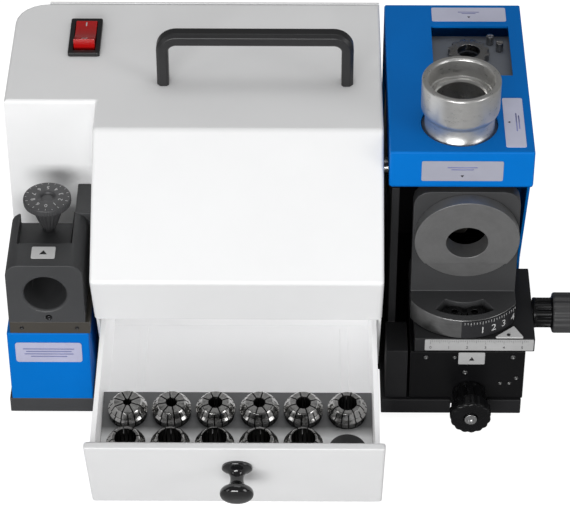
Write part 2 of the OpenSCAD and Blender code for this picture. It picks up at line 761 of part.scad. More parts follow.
// ---------- drawer ----------
front_top = 67.9;       // drawer front
front_bottom = 1.5;
front_depth = 5.2;      // depth of the folded front
box_bottom = 12;
box_floor = 13.3;       // top of the drawer's floor
collet_x = 19.2;        // first collet column
collet_length = 31.5;
// bore radii by row, front row first
collet_bores = [[5.6, 6.1, 6.4, 5.9, 6.2], [2.05, 2.8, 3.55, 3.05, 3.8, 4.8]];

// point of the [y, z] profile set back from the leaning face at height z
function face_point(z, setback) = [drawer_face_y(z) + setback, z];

// frame on the face at the knob, Z pointing out of it
module knob_frame() translate([78.5, drawer_face_y(drawer_knob_z), drawer_knob_z])
    rotate([90 + lean_angle, 0, 0]) children();

module drawer_front() centred() color([0.87, 0.87, 0.88]) {
    low = front_bottom + sheet;
    high = front_top - sheet;
    difference() {
        prism_x(0, body_w, [face_point(front_bottom, 0), face_point(front_bottom, front_depth),
            face_point(front_top, front_depth), face_point(front_top, 0)]);
        prism_x(sheet, body_w - sheet, [face_point(low, 1.6), face_point(low, 9),
            face_point(high, 9), face_point(high, 1.6)]);
        // hole for the knob stud
        knob_frame() translate([0, 0, -6]) cylinder(h = 8, r = 2.1);
    }
}

// open tray with two strips on its floor
module drawer_box() centred() color([0.85, 0.85, 0.86]) {
    side = 2.6;         // side wall, and its gap to the housing side
    back = 13;
    back_in = 11.7;
    top = 62;
    difference() {
        prism_x(side, body_w - side, [face_point(box_bottom, front_depth), [back, box_bottom],
            [back, top], face_point(top, front_depth)]);
        prism_x(2 * side, body_w - 2 * side, [face_point(box_floor, front_depth - 3),
            [back_in, box_floor], [back_in, top + 1], face_point(top + 1, front_depth - 3)]);
    }
    for (x = [20, 133.5]) block([x, -60, box_floor], [x + 4.5, 9, 14]);
}

// rack frame: origin on the front row at the collet tops, Z along the collets
module rack_frame() translate([0, -115.1, 46]) rotate([rack_tilt, 0, 0]) children();
module at_socket(column, row, z = 0)
    translate([collet_x + column * collet_pitch, row * collet_pitch, z]) children();
// radius of the collet's taper at a depth below its top
function taper_r(depth) = 10.5 - 0.1405 * (depth - 6);

// shelf of tapered sockets with a rear leg and a foot strip
module collet_rack() centred() color([0.42, 0.43, 0.44]) difference() {
    union() {
        rack_frame() {
            translate([5.4, -11, -13]) cube([144.2, 48.8, 3]);
            for (i = [0:5], j = [0:1]) at_socket(i, j, -20) cylinder(h = 9, r = 10.3);
            translate([5.6, 35.8, -42]) cube([143.8, 1.6, 31]);
        }
        block([6, -78, box_bottom], [149, -71.9, 15]);
    }
    rack_frame() for (i = [0:5], j = [0:1]) at_socket(i, j, -21)
        cylinder(h = 12, r1 = taper_r(21) + 0.04, r2 = taper_r(9) + 0.04);
    // trims the rack flush with the drawer floor
    block([0, -130, 0], [160, -60, box_floor]);
}

// columns: radius, distance out from the face
module drawer_knob() centred() color([0.03, 0.03, 0.03]) knob_frame() rotate_extrude()
    polygon([[0, -8], [2, -8], [2, 0], [8, 0], [8.1, 1.4], [7, 2.4], [4.6, 3.6], [3.6, 5.6],
        [3.6, 9.2], [4.6, 11], [8, 12.6], [9, 14.4], [8.7, 16.6], drawer_knob_rim,
        [3, 19.2], [0, 19.3]]);

// slotted collet: top face at the rack frame's origin level, body pointing down
module collet(column, row) centred() color([0.62, 0.62, 0.63]) rack_frame() {
    bore_r = collet_bores[row][column];
    at_socket(column, row) difference() {
        rotate_extrude() polygon([[bore_r, 0], [7.3, 0], [7.7, -0.3], [9.5, -3.1],
            [9.5, -3.8], [10.5, -5], [10.5, -6],
            [taper_r(collet_length), -collet_length], [bore_r, -collet_length]]);
        for (a = [0:45:135]) rotate([0, 0, a]) translate([-12, -0.4, -26]) cube([24, 0.8, 27]);
    }
}
module collet_b1() collet(0, 1);
module collet_b2() collet(1, 1);
module collet_b3() collet(2, 1);
module collet_b4() collet(3, 1);
module collet_b5() collet(4, 1);
module collet_b6() collet(5, 1);
module collet_f1() collet(0, 0);
module collet_f2() collet(1, 0);
module collet_f3() collet(2, 0);
module collet_f4() collet(3, 0);
module collet_f5() collet(4, 0);

base_plate();
rubber_feet();
housing_cover();
rear_panel();
case_screws();
motor_shelf();
drawer_guides();
carry_handle();
handle_screws();
switch_body();
motor_housing();
motor_end_bell();
motor_bearings();
motor_cradle();
control_board();
power_inlet();
wiring_loom();
wheel_frame();
blue_cover();
window_plate();
window_fittings();
top_seat();
slide_base();
gauge_box();
gauge_plate();
gauge_housing();
label_plates();
drawer_front();
drawer_box();
collet_rack();
drawer_knob();
collet_b1();
collet_b2();
collet_b3();
collet_b4();
collet_b5();
collet_b6();
collet_f1();
collet_f2();
collet_f3();
collet_f4();
collet_f5();
switch_rocker();
gauge_dial();
dial_shaft();
rotor_shaft();
grinding_wheel();
wheel_nut();
y_saddle();
y_leadscrew();
y_knob();
saddle_pointer();
x_slide();
x_leadscrew();
x_knob();
slide_markers();
swivel_block();
chuck_seat();
angle_scale();
swivel_screws();
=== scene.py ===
"""Bench grinder for cutters: a white box with a carry handle and a red rocker switch, a blue
wheel cover and cross slide at the front right, a blue dial gauge box at the left, and an open
drawer of collets at the front.

Shapes are written in machine millimetres: X runs right from the white box's left side, Y runs
back from its front top edge, Z runs up from the underside of the base plate.
"""
import json
import math
import random

import bmesh
import bpy
from mathutils import Matrix, Vector


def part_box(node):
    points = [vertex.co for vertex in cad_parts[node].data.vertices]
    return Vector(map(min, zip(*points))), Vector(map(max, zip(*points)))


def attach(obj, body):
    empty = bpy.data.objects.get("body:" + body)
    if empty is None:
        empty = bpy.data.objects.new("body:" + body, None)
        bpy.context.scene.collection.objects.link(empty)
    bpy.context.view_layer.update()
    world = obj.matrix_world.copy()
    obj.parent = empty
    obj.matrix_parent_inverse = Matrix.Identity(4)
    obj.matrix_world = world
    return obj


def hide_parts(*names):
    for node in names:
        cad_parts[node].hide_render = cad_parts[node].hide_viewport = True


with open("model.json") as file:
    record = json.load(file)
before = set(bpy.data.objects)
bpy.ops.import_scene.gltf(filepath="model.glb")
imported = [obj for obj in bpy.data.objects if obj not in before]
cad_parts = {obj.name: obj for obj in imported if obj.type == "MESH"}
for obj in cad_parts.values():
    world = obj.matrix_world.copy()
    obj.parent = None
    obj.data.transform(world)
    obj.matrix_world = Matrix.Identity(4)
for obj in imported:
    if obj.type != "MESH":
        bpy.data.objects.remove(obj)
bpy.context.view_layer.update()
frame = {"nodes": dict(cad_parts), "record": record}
NODES = frame["nodes"]
RECORD = frame["record"]
BODY = {node: body for body, nodes in RECORD["behaviour"]["bodies"].items() for node in nodes}
random.seed(7)
rad = math.radians

# The base plate's low corner lies at (-50, -46.4, 0) mm.
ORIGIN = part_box("base_plate")[0] - Vector((-0.050, -0.0464, 0.0))

# Places shared by several pieces, mm
DIAL_X, DIAL_Y = -26, -6.1  # upright axis of the gauge dial
SWIVEL_X, SWIVEL_Y = 200.5, -11  # upright axis of the swivel block
CUP_X, CUP_Y = 195.5, 6.4  # upright axis of the top seat
HOUSING_TOP_LABEL_Z = 162.38  # face of the labels on top of the housing
SADDLE_FRONT = -45  # y of the saddle's front face
STRIP_FRONT = -45.62  # y of the marks on the pale strips


def place(x, y, z):
    """Machine millimetres to scene metres."""
    return Vector((x, y, z)) * 0.001 + ORIGIN


def to_mm(point):
    return (point - ORIGIN) * 1000


# ------------------------------------------------------------------ shader building
PRINCIPLED = {
    "base": "Base Color", "metallic": "Metallic", "rough": "Roughness",
    "spec": "Specular IOR Level", "coat": "Coat Weight", "coat_rough": "Coat Roughness",
    "normal": "Normal", "emission": "Emission Color", "glow": "Emission Strength",
}


class Shader:
    """A Principled material being built; its textures read object coordinates."""

    def __init__(self, name):
        self.material = bpy.data.materials.new(name)
        self.material.use_nodes = True
        self.tree = self.material.node_tree
        self.tree.nodes.clear()
        output = self.node("ShaderNodeOutputMaterial")
        self.bsdf = self.node("ShaderNodeBsdfPrincipled")
        self.link(self.bsdf.outputs[0], output.inputs["Surface"])
        self.coords = self.node("ShaderNodeTexCoord").outputs["Object"]

    def node(self, kind, **settings):
        node = self.tree.nodes.new(kind)
        for key, value in settings.items():
            setattr(node, key, value)
        return node

    def link(self, source, target):
        self.tree.links.new(source, target)

    def put(self, socket, value):
        """Link a socket, or set a number or an RGB colour."""
        if isinstance(value, bpy.types.NodeSocket):
            self.link(value, socket)
        else:
            socket.default_value = (*value, 1.0) if isinstance(value, tuple) else value

    def noise(self, scale, detail=3.0, rough=0.55, vector=None):
        node = self.node("ShaderNodeTexNoise")
        node.inputs["Scale"].default_value = scale
        node.inputs["Detail"].default_value = detail
        node.inputs["Roughness"].default_value = rough
        self.link(vector or self.coords, node.inputs["Vector"])
        return node.outputs["Fac"]

    def remap(self, value, source, to=(0, 1)):
        node = self.node("ShaderNodeMapRange")
        self.put(node.inputs["Value"], value)
        for key, limit in zip(("From Min", "From Max", "To Min", "To Max"), (*source, *to)):
            node.inputs[key].default_value = limit
        return node.outputs["Result"]

    def calc(self, operation, a, b=0.0):
        node = self.node("ShaderNodeMath", operation=operation)
        self.put(node.inputs[0], a)
        self.put(node.inputs[1], b)
        return node.outputs[0]

    def weigh(self, a, a_share, b, b_share):
        return self.calc("ADD", self.calc("MULTIPLY", a, a_share),
                         self.calc("MULTIPLY", b, b_share))

    def split(self, vector=None):
        """The X, Y and Z outputs of a vector, by default the coordinates."""
        node = self.node("ShaderNodeSeparateXYZ")
        self.link(vector or self.coords, node.inputs[0])
        return node.outputs

    def mix(self, factor, a, b):
        node = self.node("ShaderNodeMix", data_type="RGBA")
        self.put(node.inputs["Factor"], factor)
        self.put(node.inputs[6], a)
        self.put(node.inputs[7], b)
        return node.outputs[2]

    def mottle(self, factor, colour, var):
        """A colour that varies by the fraction var either way."""
        return self.mix(factor, shade(colour, 1 - var), shade(colour, 1 + var))

    def bump(self, height, strength, distance):
        node = self.node("ShaderNodeBump")
        node.inputs["Strength"].default_value = strength
        node.inputs["Distance"].default_value = distance
        self.put(node.inputs["Height"], height)
        return node.outputs[0]

    def surface(self, **values):
        for key, value in values.items():
            self.put(self.bsdf.inputs[PRINCIPLED[key]], value)

    def worn_edges(self):
        """0 on flats, 1 on edges, broken up by noise; the lighter edges stand for wear and for
        painted highlight.
        """
        bevel = self.node("ShaderNodeBevel", samples=4)
        bevel.inputs["Radius"].default_value = 0.0004
        geometry = self.node("ShaderNodeNewGeometry")
        dot = self.node("ShaderNodeVectorMath", operation="DOT_PRODUCT")
        self.link(bevel.outputs[0], dot.inputs[0])
        self.link(geometry.outputs["Normal"], dot.inputs[1])
        edge = self.calc("SUBTRACT", 1.0, dot.outputs["Value"])
        patches = self.remap(self.noise(scale=420, detail=4), source=(0.35, 0.62), to=(0.25, 1.5))
        return self.remap(self.calc("MULTIPLY", edge, patches), source=(0.03, 0.25))


def shade(colour, factor):
    return tuple(min(1.0, max(0.0, x * factor)) for x in colour)


# Finishes take a name and a linear RGB colour; var is the colour's variation.
def painted(name, colour, rough, var, peel, peel_scale=1400, spec=0.5, edge=None, speck=0.0,
            glow=0.0):
    """Sprayed or powder paint: faint mottling, orange peel, optional lighter edges for wear and
    painted highlight.
    """
    s = Shader(name)
    broad = s.noise(scale=22, detail=4, rough=0.6)
    fine = s.noise(scale=peel_scale, detail=2, rough=0.5)
    col = s.mottle(s.remap(broad, source=(0.3, 0.7)), colour, var)
    if speck:
        specks = s.remap(s.noise(scale=peel_scale * 1.3, detail=1), source=(0.66, 0.74),
                         to=(0.0, speck))
        col = s.mix(specks, col, shade(colour, 2.4))
    # Lighter edges: wear and painted highlight.
    if edge is not None:
        col = s.mix(s.worn_edges(), col, edge)
    smudge = s.calc("ADD", s.noise(scale=60, detail=4), s.calc("MULTIPLY", fine, 0.4))
    s.surface(
        rough=s.remap(smudge, source=(0.4, 1.0), to=(rough - 0.05, rough + 0.07)),
        base=col, spec=spec, coat_rough=0.12,
        normal=s.bump(fine, strength=peel, distance=0.00015))
    # Optional glow: painted light on a surface that is no lamp.
    if glow:
        s.surface(emission=(1, 1, 1), glow=glow)
    return s.material


def split_paint(name, colour, shaded_colour, axis, start, end):
    """Paint that turns from its own colour to a darker one between two stations (mm) on an axis;
    the darker colour is painted shade.
    """
    s = Shader(name)
    along = s.split()[axis]
    fine = s.noise(scale=1400, detail=2, rough=0.5)
    ragged = s.calc("ADD", along, s.calc("MULTIPLY", s.noise(scale=60, detail=3), 0.004))
    stations = [place(mm, mm, mm)[axis] for mm in (start, end)]
    shade_amount = s.remap(ragged, source=stations)
    col = s.mix(shade_amount, colour, shaded_colour)
    # Lighter edges: wear and painted highlight.
    edge_wear_highlight = s.worn_edges()
    s.surface(
        base=s.mix(edge_wear_highlight, col, s.mix(shade_amount, shade(colour, 2.2), shade(shaded_colour, 5))),
        rough=s.remap(s.noise(scale=60, detail=4), source=(0.3, 0.7), to=(0.36, 0.48)),
        spec=0.25, normal=s.bump(fine, strength=0.2, distance=0.00015))
    return s.material


def plastic(name, colour, rough=0.35, grain=0.1, grain_scale=2600, spec=0.5, coat=0.0, var=0.08):
    s = Shader(name)
    fine = s.noise(scale=grain_scale, detail=2, rough=0.6)
    s.surface(
        base=s.mottle(s.remap(s.noise(scale=90, detail=4), source=(0.3, 0.7)), colour, var),
        rough=s.remap(s.noise(scale=150, detail=5), source=(0.3, 0.7),
                      to=(rough - 0.04, rough + 0.06)),
        spec=spec, coat=coat, coat_rough=0.05,
        normal=s.bump(fine, strength=grain, distance=0.0001))
    return s.material


def metal(name, colour, rough, scale, stretch=(1, 1, 1), amount=0.35, var=0.12):
    """Ground or brushed metal: streaks along the axis with the smallest stretch."""
    s = Shader(name)
    mapping = s.node("ShaderNodeMapping")
    mapping.inputs["Scale"].default_value = stretch
    s.link(s.coords, mapping.inputs["Vector"])
    streaks = s.noise(scale=scale, detail=5, rough=0.65, vector=mapping.outputs[0])
    stain = s.noise(scale=70, detail=5, rough=0.6)
    tint = s.remap(s.weigh(streaks, 0.5, stain, 0.5), source=(0.35, 0.65))
    s.surface(
        base=s.mottle(tint, colour, var), metallic=1.0,
        rough=s.remap(s.weigh(streaks, 0.6, stain, 0.4), source=(0.35, 0.65),
                      to=(rough - 0.06, rough + 0.1)),
        normal=s.bump(streaks, strength=amount, distance=0.00008))
    return s.material


def turned(name, colour, centre, axis, rough, freq, amount=0.5, metallic=1.0, var=0.14,
           stain_share=0.5):
    """Lathe-turned metal: fine rings round an axis (0, 1 or 2) through centre (mm)."""
    s = Shader(name)
    offset = s.node("ShaderNodeVectorMath", operation="SUBTRACT")
    s.link(s.coords, offset.inputs[0])
    offset.inputs[1].default_value = place(*centre)
    parts = s.split(offset.outputs[0])
    a, b = [parts[i] for i in range(3) if i != axis]
    radius = s.calc("SQRT", s.calc("ADD", s.calc("MULTIPLY", a, a), s.calc("MULTIPLY", b, b)))
    angle = s.calc("ARCTAN2", a, b)
    rings = s.node("ShaderNodeCombineXYZ")
    for socket, value, factor in zip(rings.inputs, (radius, parts[axis], angle),
                                     (freq / 600, freq / 600, 0.06)):
        s.link(s.calc("MULTIPLY", value, factor), socket)
    fine = s.noise(scale=600, detail=3, rough=0.6, vector=rings.outputs[0])
    coarse = s.noise(scale=90, detail=2, rough=0.5, vector=rings.outputs[0])
    stain = s.noise(scale=80, detail=5, rough=0.65)
    blend = s.weigh(s.calc("ADD", fine, coarse), 0.5 - stain_share / 2, stain, stain_share)
    s.surface(
        base=s.mottle(s.remap(blend, source=(0.36, 0.64)), colour, var), metallic=metallic,
        rough=s.remap(blend, source=(0.35, 0.65), to=(rough - 0.05, rough + 0.1)),
        normal=s.bump(s.calc("ADD", fine, coarse), strength=amount, distance=0.00006))
    return s.material


# ------------------------------------------------------------------ materials
WHITE = painted("white_paint", (0.835, 0.838, 0.842), rough=0.36, var=0.012, peel=0.05)
# Drawer inside: white paint that glows a little, painted light that brightens the shaded drawer.
TRAY_GLOWING = painted("tray_paint_glowing", (0.9, 0.9, 0.905), rough=0.42, var=0.01, peel=0.06, glow=0.14)
# A slightly darker copy of the white paint, for the drawer front: painted shade.
DRAWER_SHADED_WHITE = painted("drawer_shaded_white", (0.8, 0.802, 0.806), rough=0.38, var=0.012, peel=0.05, spec=0.4)
BLUE = painted("blue_paint", (0.0, 0.15, 0.53), rough=0.42, var=0.03, peel=0.05, spec=0.08)
CAST = painted("cast_dark", (0.047, 0.048, 0.05), rough=0.44, var=0.12, peel=0.35,
               peel_scale=1500, edge=(0.2, 0.2, 0.2), speck=0.25, spec=0.35)
PLATE = painted("plate_dark", (0.042, 0.0425, 0.044), rough=0.38, var=0.1, peel=0.2,
                edge=(0.13, 0.13, 0.135), spec=0.35)
# The base turns darker from x 150 to 165 mm, where it lies under the slide at the right: painted
# shade.
BASE_SHADED_RIGHT = split_paint("base_dark", (0.052, 0.053, 0.055), (0.012, 0.012, 0.013),
                   axis=0, start=150, end=165)
SADDLE = painted("slide_black", (0.004, 0.004, 0.0045), rough=0.34, var=0.15, peel=0.15,
                 edge=(0.06, 0.06, 0.06), spec=0.18)
CROSS_SLIDE = painted("slide_dark", (0.018, 0.018, 0.019), rough=0.36, var=0.12, peel=0.15,
                      edge=(0.09, 0.09, 0.09), spec=0.25)
FRAME_BLACK = painted("frame_black", (0.014, 0.014, 0.015), rough=0.42, var=0.12, peel=0.2,
                      spec=0.25)
BROWN = painted("grey_brown", (0.052, 0.047, 0.04), rough=0.42, var=0.1, peel=0.2,
                edge=(0.14, 0.13, 0.11), spec=0.3)
WINDOW = painted("window_grey", (0.19, 0.205, 0.23), rough=0.4, var=0.06, peel=0.15,
                 edge=(0.2, 0.2, 0.2), spec=0.3)
BLACK = plastic("black_plastic", (0.012, 0.012, 0.013), rough=0.38, grain=0.12)
HANDLE = plastic("handle_black", (0.022, 0.022, 0.023), rough=0.34, grain=0.05, spec=0.35)
KNOB_GREY = plastic("knob_grey", (0.045, 0.045, 0.046), rough=0.36, grain=0.12, spec=0.25)
DULL_SCREW = metal("screw_dull", (0.17, 0.17, 0.17), rough=0.36, scale=900)
GLOSS = plastic("knob_gloss", (0.006, 0.006, 0.0065), rough=0.12, grain=0.02, coat=0.6)
KNOB_BLACK = plastic("knob_black", (0.004, 0.004, 0.0045), rough=0.28, grain=0.12, spec=0.22)
RED = plastic("rocker_red", (0.44, 0.006, 0.006), rough=0.2, grain=0.02, coat=0.5, var=0.05)
RUBBER = plastic("foot_rubber", (0.02, 0.02, 0.02), rough=0.75, grain=0.4, grain_scale=1800)
CABLE = plastic("cable_black", (0.015, 0.015, 0.015), rough=0.5, grain=0.2)
BOARD = plastic("board_green", (0.01, 0.08, 0.03), rough=0.4, grain=0.1)
LABEL_LILAC = plastic("label_lilac", (0.43, 0.43, 0.57), rough=0.34, grain=0.02, var=0.03,
                      spec=0.3)
LABEL_SKY = plastic("label_sky", (0.54, 0.55, 0.68), rough=0.34, grain=0.02, var=0.03, spec=0.3)
LABEL_PEARL = plastic("label_pearl", (0.34, 0.345, 0.41), rough=0.34, grain=0.02, var=0.03,
                      spec=0.3)
LABEL_WHITE = plastic("label_white", (0.55, 0.55, 0.55), rough=0.35, grain=0.03, var=0.05)
STRIP = plastic("scale_strip", (0.38, 0.38, 0.38), rough=0.36, grain=0.05, var=0.06, spec=0.3)
INK_BLACK = plastic("ink_black", (0.012, 0.012, 0.014), rough=0.45, grain=0.05)
INK_BLUE = plastic("ink_blue", (0.2, 0.215, 0.42), rough=0.4, grain=0.02)
INK_WHITE = plastic("ink_white", (0.5, 0.5, 0.5), rough=0.45, grain=0.05)
STEEL = metal("steel_bright", (0.5, 0.5, 0.5), rough=0.24, scale=700)
SCREW = metal("screw_steel", (0.3, 0.3, 0.3), rough=0.3, scale=900)
DARK_SCREW = metal("screw_dark", (0.05, 0.05, 0.052), rough=0.32, scale=900)
COLLET = metal("collet_steel", (0.46, 0.455, 0.445), rough=0.15, scale=800, amount=0.2, var=0.1)
COLLET_FACE = metal("collet_face", (0.17, 0.168, 0.165), rough=0.34, scale=1100, amount=0.5,
                    var=0.35)
# Darker steel on the bore walls and slot sides: painted shade in the hollows.
COLLET_BORE_SHADED = metal("collet_bore", (0.12, 0.118, 0.115), rough=0.4, scale=900, amount=0.3)
RACK = painted("rack_grey", (0.1, 0.102, 0.104), rough=0.4, var=0.08, peel=0.15)
# Light at the front and dark toward the back, from y -104 to -97 mm: painted light and shade on
# the rack top.
RACK_TOP_LIT_SHADED = split_paint("rack_light", (0.82, 0.822, 0.825), (0.15, 0.152, 0.155),
                       axis=1, start=-104, end=-97)
MOTOR = metal("motor_cast", (0.3, 0.31, 0.32), rough=0.45, scale=900, amount=0.6)
WHEEL = painted("abrasive", (0.06, 0.055, 0.048), rough=0.9, var=0.2, peel=1.0,
                peel_scale=2600, speck=0.5, spec=0.2)
SEAT = turned("seat_steel", (0.18, 0.18, 0.18), centre=(200.5, -20, 105.4), axis=1,
              rough=0.34, amount=0.35, freq=3600, var=0.1, metallic=0.5)
CUP = turned("cup_alu", (0.62, 0.615, 0.6), centre=(CUP_X, CUP_Y, 180), axis=2, rough=0.3,
             amount=0.35, freq=4200, var=0.06, stain_share=0.25, metallic=0.85)
DIAL = turned("dial_dark", (0.075, 0.075, 0.078), centre=(DIAL_X, DIAL_Y, 110), axis=2,
              rough=0.4, freq=2400, metallic=0.4, var=0.15)
SHAFT = turned("shaft_steel", (0.55, 0.55, 0.56), centre=(DIAL_X, DIAL_Y, 110), axis=2,
               rough=0.2, freq=3000)
FITTING = turned("fitting_steel", (0.36, 0.355, 0.35), centre=(204, 80, 155), axis=2,
                 rough=0.26, freq=3600)
SWIVEL_EDGE = metal("swivel_edge", (0.26, 0.26, 0.26), rough=0.34, scale=900,
                    stretch=(0.2, 0.2, 1), amount=0.3)


# ------------------------------------------------------------------ mesh tools
def finish_mesh(bm, name, mats, body, replaces=None, in_mm=True):
    if in_mm:
        for v in bm.verts:
            v.co = v.co * 0.001 + ORIGIN
    bmesh.ops.recalc_face_normals(bm, faces=bm.faces)
    mesh = bpy.data.meshes.new(name)
    bm.to_mesh(mesh)
    bm.free()
    mesh.polygons.foreach_set("use_smooth", [True] * len(mesh.polygons))
    obj = bpy.data.objects.new(name, mesh)
    bpy.context.scene.collection.objects.link(obj)
    for mat in mats if isinstance(mats, list) else [mats]:
        mesh.materials.append(mat)
    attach(obj, body)
    if replaces:
        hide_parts(replaces)
    return obj


def add_bevel(obj, width, segs, angle=None):
    """Bevel by edge weight, or by angle in degrees when one is given."""
    bevel = obj.modifiers.new("Bevel", "BEVEL")
    bevel.width = width * 0.001
    bevel.segments = segs
    bevel.use_clamp_overlap = False
    bevel.miter_outer = "MITER_ARC"
    if angle is None:
        bevel.limit_method = "WEIGHT"
    else:
        bevel.limit_method = "ANGLE"
        bevel.angle_limit = rad(angle)


def weight_normals(obj):
    modifier = obj.modifiers.new("WN", "WEIGHTED_NORMAL")
    modifier.keep_sharp = True
    modifier.weight = 60


def is_large(edge, area, above):
    """A convex edge above a height (mm), between faces larger than area (mm2)."""
    return (all(f.calc_area() * 1e6 > area for f in edge.link_faces)
            and edge.calc_face_angle_signed(0.0) > 0
            and min(to_mm(v.co).z for v in edge.verts) > above)


def cad(node, mats, width=0.3, segs=2, broad=None, area=300, above=-math.inf, assign=None):
    """A cleaned copy of a CAD node with rounded edges.

    Edges get width mm, and large ones broad mm when it is given. assign(face, centre in mm)
    picks each face's material index.
    """
    bm = bmesh.new()
    bm.from_mesh(NODES[node].data)
    bmesh.ops.remove_doubles(bm, verts=bm.verts, dist=3e-6)
    bmesh.ops.dissolve_limit(bm, angle_limit=rad(0.5), verts=bm.verts, edges=bm.edges)
    widest = broad or width
    weight = bm.edges.layers.float.new("bevel_weight_edge")
    for edge in bm.edges:
        if len(edge.link_faces) != 2 or edge.calc_face_angle(0.0) < rad(28):
            continue
        large = broad and is_large(edge, area, above)
        edge[weight] = (broad if large else width) / widest
    if assign:
        for face in bm.faces:
            face.material_index = assign(face, to_mm(face.calc_center_median()))
    obj = finish_mesh(bm, node + "_v", mats, BODY[node], node, in_mm=False)
    add_bevel(obj, widest, segs)
    weight_normals(obj)


def revolve(profile, n, matrix, closed=False):
    """Turn (radius, z) pairs in mm round +Z; closed joins the last point to the first."""
    bm = bmesh.new()
    rings = []
    for r, z in profile:
        if r < 1e-6:
            rings.append([bm.verts.new((0, 0, z))])
            continue
        angles = [2 * math.pi * i / n for i in range(n)]
        rings.append([bm.verts.new((r * math.cos(a), r * math.sin(a), z)) for a in angles])
    for j in range(len(rings) if closed else len(rings) - 1):
        a, b = rings[j], rings[(j + 1) % len(rings)]
        for i in range(n):
            i2 = (i + 1) % n
            if len(a) == 1:
                bm.faces.new((a[0], b[i], b[i2]))
            elif len(b) == 1:
                bm.faces.new((a[i], b[0], a[i2]))
            else:
                bm.faces.new((a[i], b[i], b[i2], a[i2]))
    bm.transform(matrix)
    return bm


def fillet(points, closed=False):
    """Round each (r, z, radius) corner with 4 steps."""
    out = []
    n = len(points)
    for i, (x, y, radius) in enumerate(points):
        if radius <= 0 or (not closed and i in (0, n - 1)):
            out.append((x, y))
            continue
        corner = Vector((x, y))
        before = Vector(points[i - 1][:2]) - corner
        after = Vector(points[(i + 1) % n][:2]) - corner
        reach = min(radius, before.length * 0.49, after.length * 0.49)
        a = corner + before.normalized() * reach
        b = corner + after.normalized() * reach
        for t in (0, 0.25, 0.5, 0.75, 1):
            q = a * (1 - t) ** 2 + corner * 2 * t * (1 - t) + b * t * t
            out.append((q.x, q.y))
    return out


def lobed(sections, n, matrix, material_of=None):
    """Closed solid of rings, each (radius, z) or (radius, z, depth, count, power).

    Depth cuts count rounded valleys, narrower for a higher power.
    """
    bm = bmesh.new()
    rings = []
    for radius, z, *cut in sections:
        depth, count, power = cut or (0, 0, 1)
        ring = []
        for i in range(n):
            a = 2 * math.pi * i / n
            valley = (0.5 + 0.5 * math.cos(count * a)) ** power if count else 0
            r = radius - depth * valley
            ring.append(bm.verts.new((r * math.cos(a), r * math.sin(a), z)))
        rings.append(ring)
    for j, a in enumerate(rings):
        b = rings[(j + 1) % len(rings)]
        for i in range(n):
            face = bm.faces.new((a[i], a[(i + 1) % n], b[(i + 1) % n], b[i]))
            if material_of:
                face.material_index = material_of(j)
    bm.transform(matrix)
    return bm


def turn(degrees, axis):
    return Matrix.Rotation(rad(degrees), 4, axis)


def at(x, y, z, axis="Z"):
    """Matrix that moves the origin to a point and takes +Z to the given axis."""
    turns = {"Z": Matrix.Identity(4), "-Y": turn(90, "X"), "Y": turn(-90, "X"),
             "X": turn(90, "Y")}
    return Matrix.Translation((x, y, z)) @ turns[axis]


def merge(parts):
    """Several bmeshes as one mesh of separate shells."""
    out = bmesh.new()
    for part in parts:
        mesh = bpy.data.meshes.new("tmp")
        part.to_mesh(mesh)
        part.free()
        out.from_mesh(mesh)
        bpy.data.meshes.remove(mesh)
    return out


def block(lo, hi, matrix=Matrix.Identity(4)):
    bm = bmesh.new()
    v = [bm.verts.new((x, y, z)) for x in (lo[0], hi[0]) for y in (lo[1], hi[1])
         for z in (lo[2], hi[2])]
    for quad in ((0, 1, 3, 2), (4, 6, 7, 5), (0, 4, 5, 1), (2, 3, 7, 6), (0, 2, 6, 4),
                 (1, 5, 7, 3)):
        bm.faces.new([v[i] for i in quad])
    bm.transform(matrix)
    return bm


def prism(points, z0, z1, matrix):
    bm = bmesh.new()
    a = [bm.verts.new((x, y, z0)) for x, y in points]
    b = [bm.verts.new((x, y, z1)) for x, y in points]
    bm.faces.new(list(reversed(a)))
    bm.faces.new(b)
    n = len(points)
    for i in range(n):
        bm.faces.new((a[i], a[(i + 1) % n], b[(i + 1) % n], b[i]))
    bm.transform(matrix)
    return bm


def rounded_rect(x0, y0, x1, y1, r, n):
    corners = ((x1 - r, y0 + r, -90), (x1 - r, y1 - r, 0), (x0 + r, y1 - r, 90),
               (x0 + r, y0 + r, 180))
    out = []
    for x, y, start in corners:
        for i in range(n + 1):
            a = rad(start + 90 * i / n)
            out.append((x + r * math.cos(a), y + r * math.sin(a)))
    return out


def lettering(text, size, matrix, depth=0.06):
    """Raised figures, size in mm, centred in the XY plane of matrix, facing +Z."""
    curve = bpy.data.curves.new("txt", "FONT")
    curve.body = text
    curve.size = size
    curve.align_x = "CENTER"
    curve.align_y = "CENTER"
    curve.extrude = depth / 2
    curve.resolution_u = 3
    obj = bpy.data.objects.new("txt", curve)
    bpy.context.scene.collection.objects.link(obj)
    bpy.context.view_layer.update()
    evaluated = obj.evaluated_get(bpy.context.evaluated_depsgraph_get())
    mesh = bpy.data.meshes.new_from_object(evaluated)
    bpy.data.objects.remove(obj)
    bm = bmesh.new()
    bm.from_mesh(mesh)
    bpy.data.meshes.remove(mesh)
    bm.transform(matrix)
    return bm


def screw_head(matrix, r, h, socket=True):
    """Small chamfered head, with or without a socket."""
    profile = [(0, 0), (r, 0), (r, h * 0.7), (r - 0.2 * r, h)]
    if socket:
        profile += [(r * 0.5, h), (r * 0.42, h * 0.35), (0, h * 0.35)]
    else:
        profile += [(0, h)]
    return revolve(profile, 24, matrix)


# ------------------------------------------------------------------ housing
cad("housing_cover", WHITE, width=0.22, segs=4, broad=2.0, area=260, above=10.5)
cad("rear_panel", WHITE, width=0.25)
cad("drawer_front", DRAWER_SHADED_WHITE, width=0.2, segs=4, broad=1.3)
cad("drawer_box", TRAY_GLOWING)
cad("base_plate", BASE_SHADED_RIGHT, width=0.5)
cad("case_screws", SCREW, width=0.2)
cad("handle_screws", SCREW, width=0.15)


